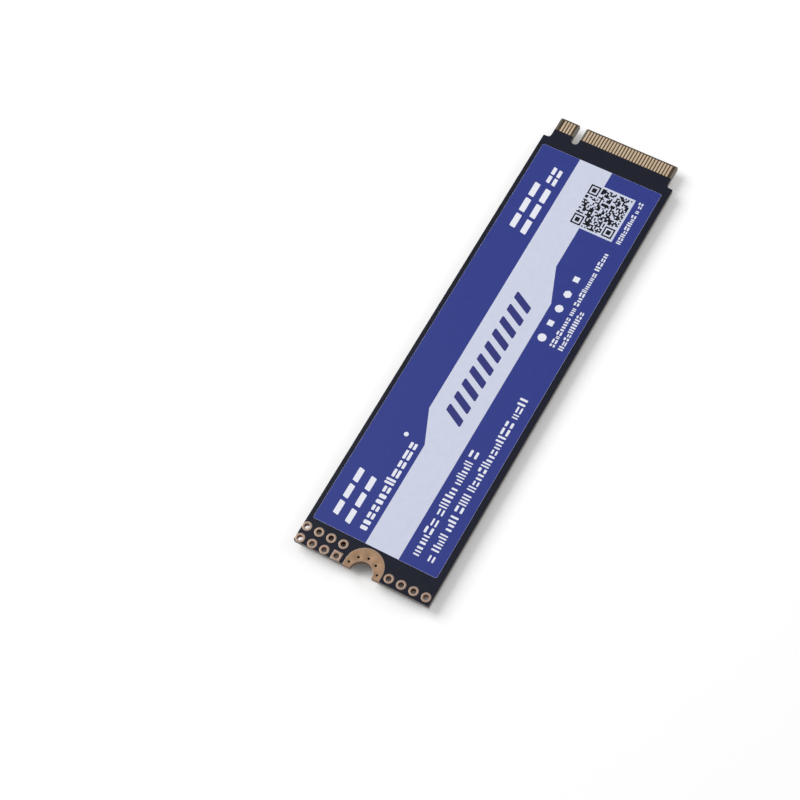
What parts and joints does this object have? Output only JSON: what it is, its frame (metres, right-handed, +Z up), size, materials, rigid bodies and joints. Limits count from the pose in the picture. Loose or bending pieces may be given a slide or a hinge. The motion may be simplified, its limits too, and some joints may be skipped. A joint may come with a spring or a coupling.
{
  "type": "gumstick solid state drive",
  "caption": "Thin circuit card with a notched gold edge connector, a half-round screw seat, a flat label on one face and the memory chips on the other.",
  "frame": {"origin": "centre of the part's box, at its base, where the flash packages rest", "axes": "+Y runs from the screw end to the connector's tip, +Z up from the chips to the label, +X to the right seen from above"},
  "size_m": [0.022, 0.08, 0.0021],
  "materials": {
    "solder_mask": "satin black solder mask over glass-epoxy laminate, with gold-plated copper",
    "label_film": "matt printed film",
    "moulded_epoxy": "matt black moulding compound",
    "crystal_lid": "satin plated lid on a ceramic tray",
    "iron_powder": "matt pressed powder",
    "resistor_film": "dark film with tinned ends",
    "capacitor_ceramic": "tan ceramic with tinned ends",
    "gold_plating": "immersion gold over nickel on the contacts, pads, land and hole walls",
    "bare_laminate": "bare glass-epoxy between the contacts and at the routed edges",
    "tinned_solder": "bright tin and solder on the lands and leads",
    "legend_ink": "white legend ink on the solder mask"
  },
  "bodies": {
    "root": {"circuit_board": "solder_mask", "product_label": "label_film", "storage_controller": "moulded_epoxy", "flash_memory_1": "moulded_epoxy", "flash_memory_2": "moulded_epoxy", "power_management_chip": "moulded_epoxy", "load_switch": "moulded_epoxy", "clock_crystal": "crystal_lid", "power_inductor_1": "iron_powder", "power_inductor_2": "iron_powder", "power_inductor_3": "iron_powder", "input_capacitor_1": "capacitor_ceramic", "input_capacitor_2": "capacitor_ceramic", "input_capacitor_3": "capacitor_ceramic", "input_capacitor_4": "capacitor_ceramic", "output_capacitor_1": "capacitor_ceramic", "output_capacitor_2": "capacitor_ceramic", "output_capacitor_3": "capacitor_ceramic", "output_capacitor_4": "capacitor_ceramic", "output_capacitor_5": "capacitor_ceramic", "output_capacitor_6": "capacitor_ceramic", "link_capacitor_1": "capacitor_ceramic", "link_capacitor_2": "capacitor_ceramic", "link_capacitor_3": "capacitor_ceramic", "link_capacitor_4": "capacitor_ceramic", "link_capacitor_5": "capacitor_ceramic", "link_capacitor_6": "capacitor_ceramic", "link_capacitor_7": "capacitor_ceramic", "link_capacitor_8": "capacitor_ceramic", "crystal_capacitor_1": "capacitor_ceramic", "crystal_capacitor_2": "capacitor_ceramic", "setting_resistor_1": "resistor_film", "setting_resistor_2": "resistor_film", "setting_resistor_3": "resistor_film", "setting_resistor_4": "resistor_film", "setting_resistor_5": "resistor_film", "setting_resistor_6": "resistor_film", "decoupling_capacitor_01": "capacitor_ceramic", "decoupling_capacitor_02": "capacitor_ceramic", "decoupling_capacitor_03": "capacitor_ceramic", "decoupling_capacitor_04": "capacitor_ceramic", "decoupling_capacitor_05": "capacitor_ceramic", "decoupling_capacitor_06": "capacitor_ceramic", "decoupling_capacitor_07": "capacitor_ceramic", "decoupling_capacitor_08": "capacitor_ceramic", "decoupling_capacitor_09": "capacitor_ceramic", "decoupling_capacitor_10": "capacitor_ceramic", "decoupling_capacitor_11": "capacitor_ceramic", "decoupling_capacitor_12": "capacitor_ceramic", "decoupling_capacitor_13": "capacitor_ceramic", "decoupling_capacitor_14": "capacitor_ceramic", "decoupling_capacitor_15": "capacitor_ceramic", "decoupling_capacitor_16": "capacitor_ceramic", "decoupling_capacitor_17": "capacitor_ceramic", "decoupling_capacitor_18": "capacitor_ceramic"}
  },
  "joints": []
}
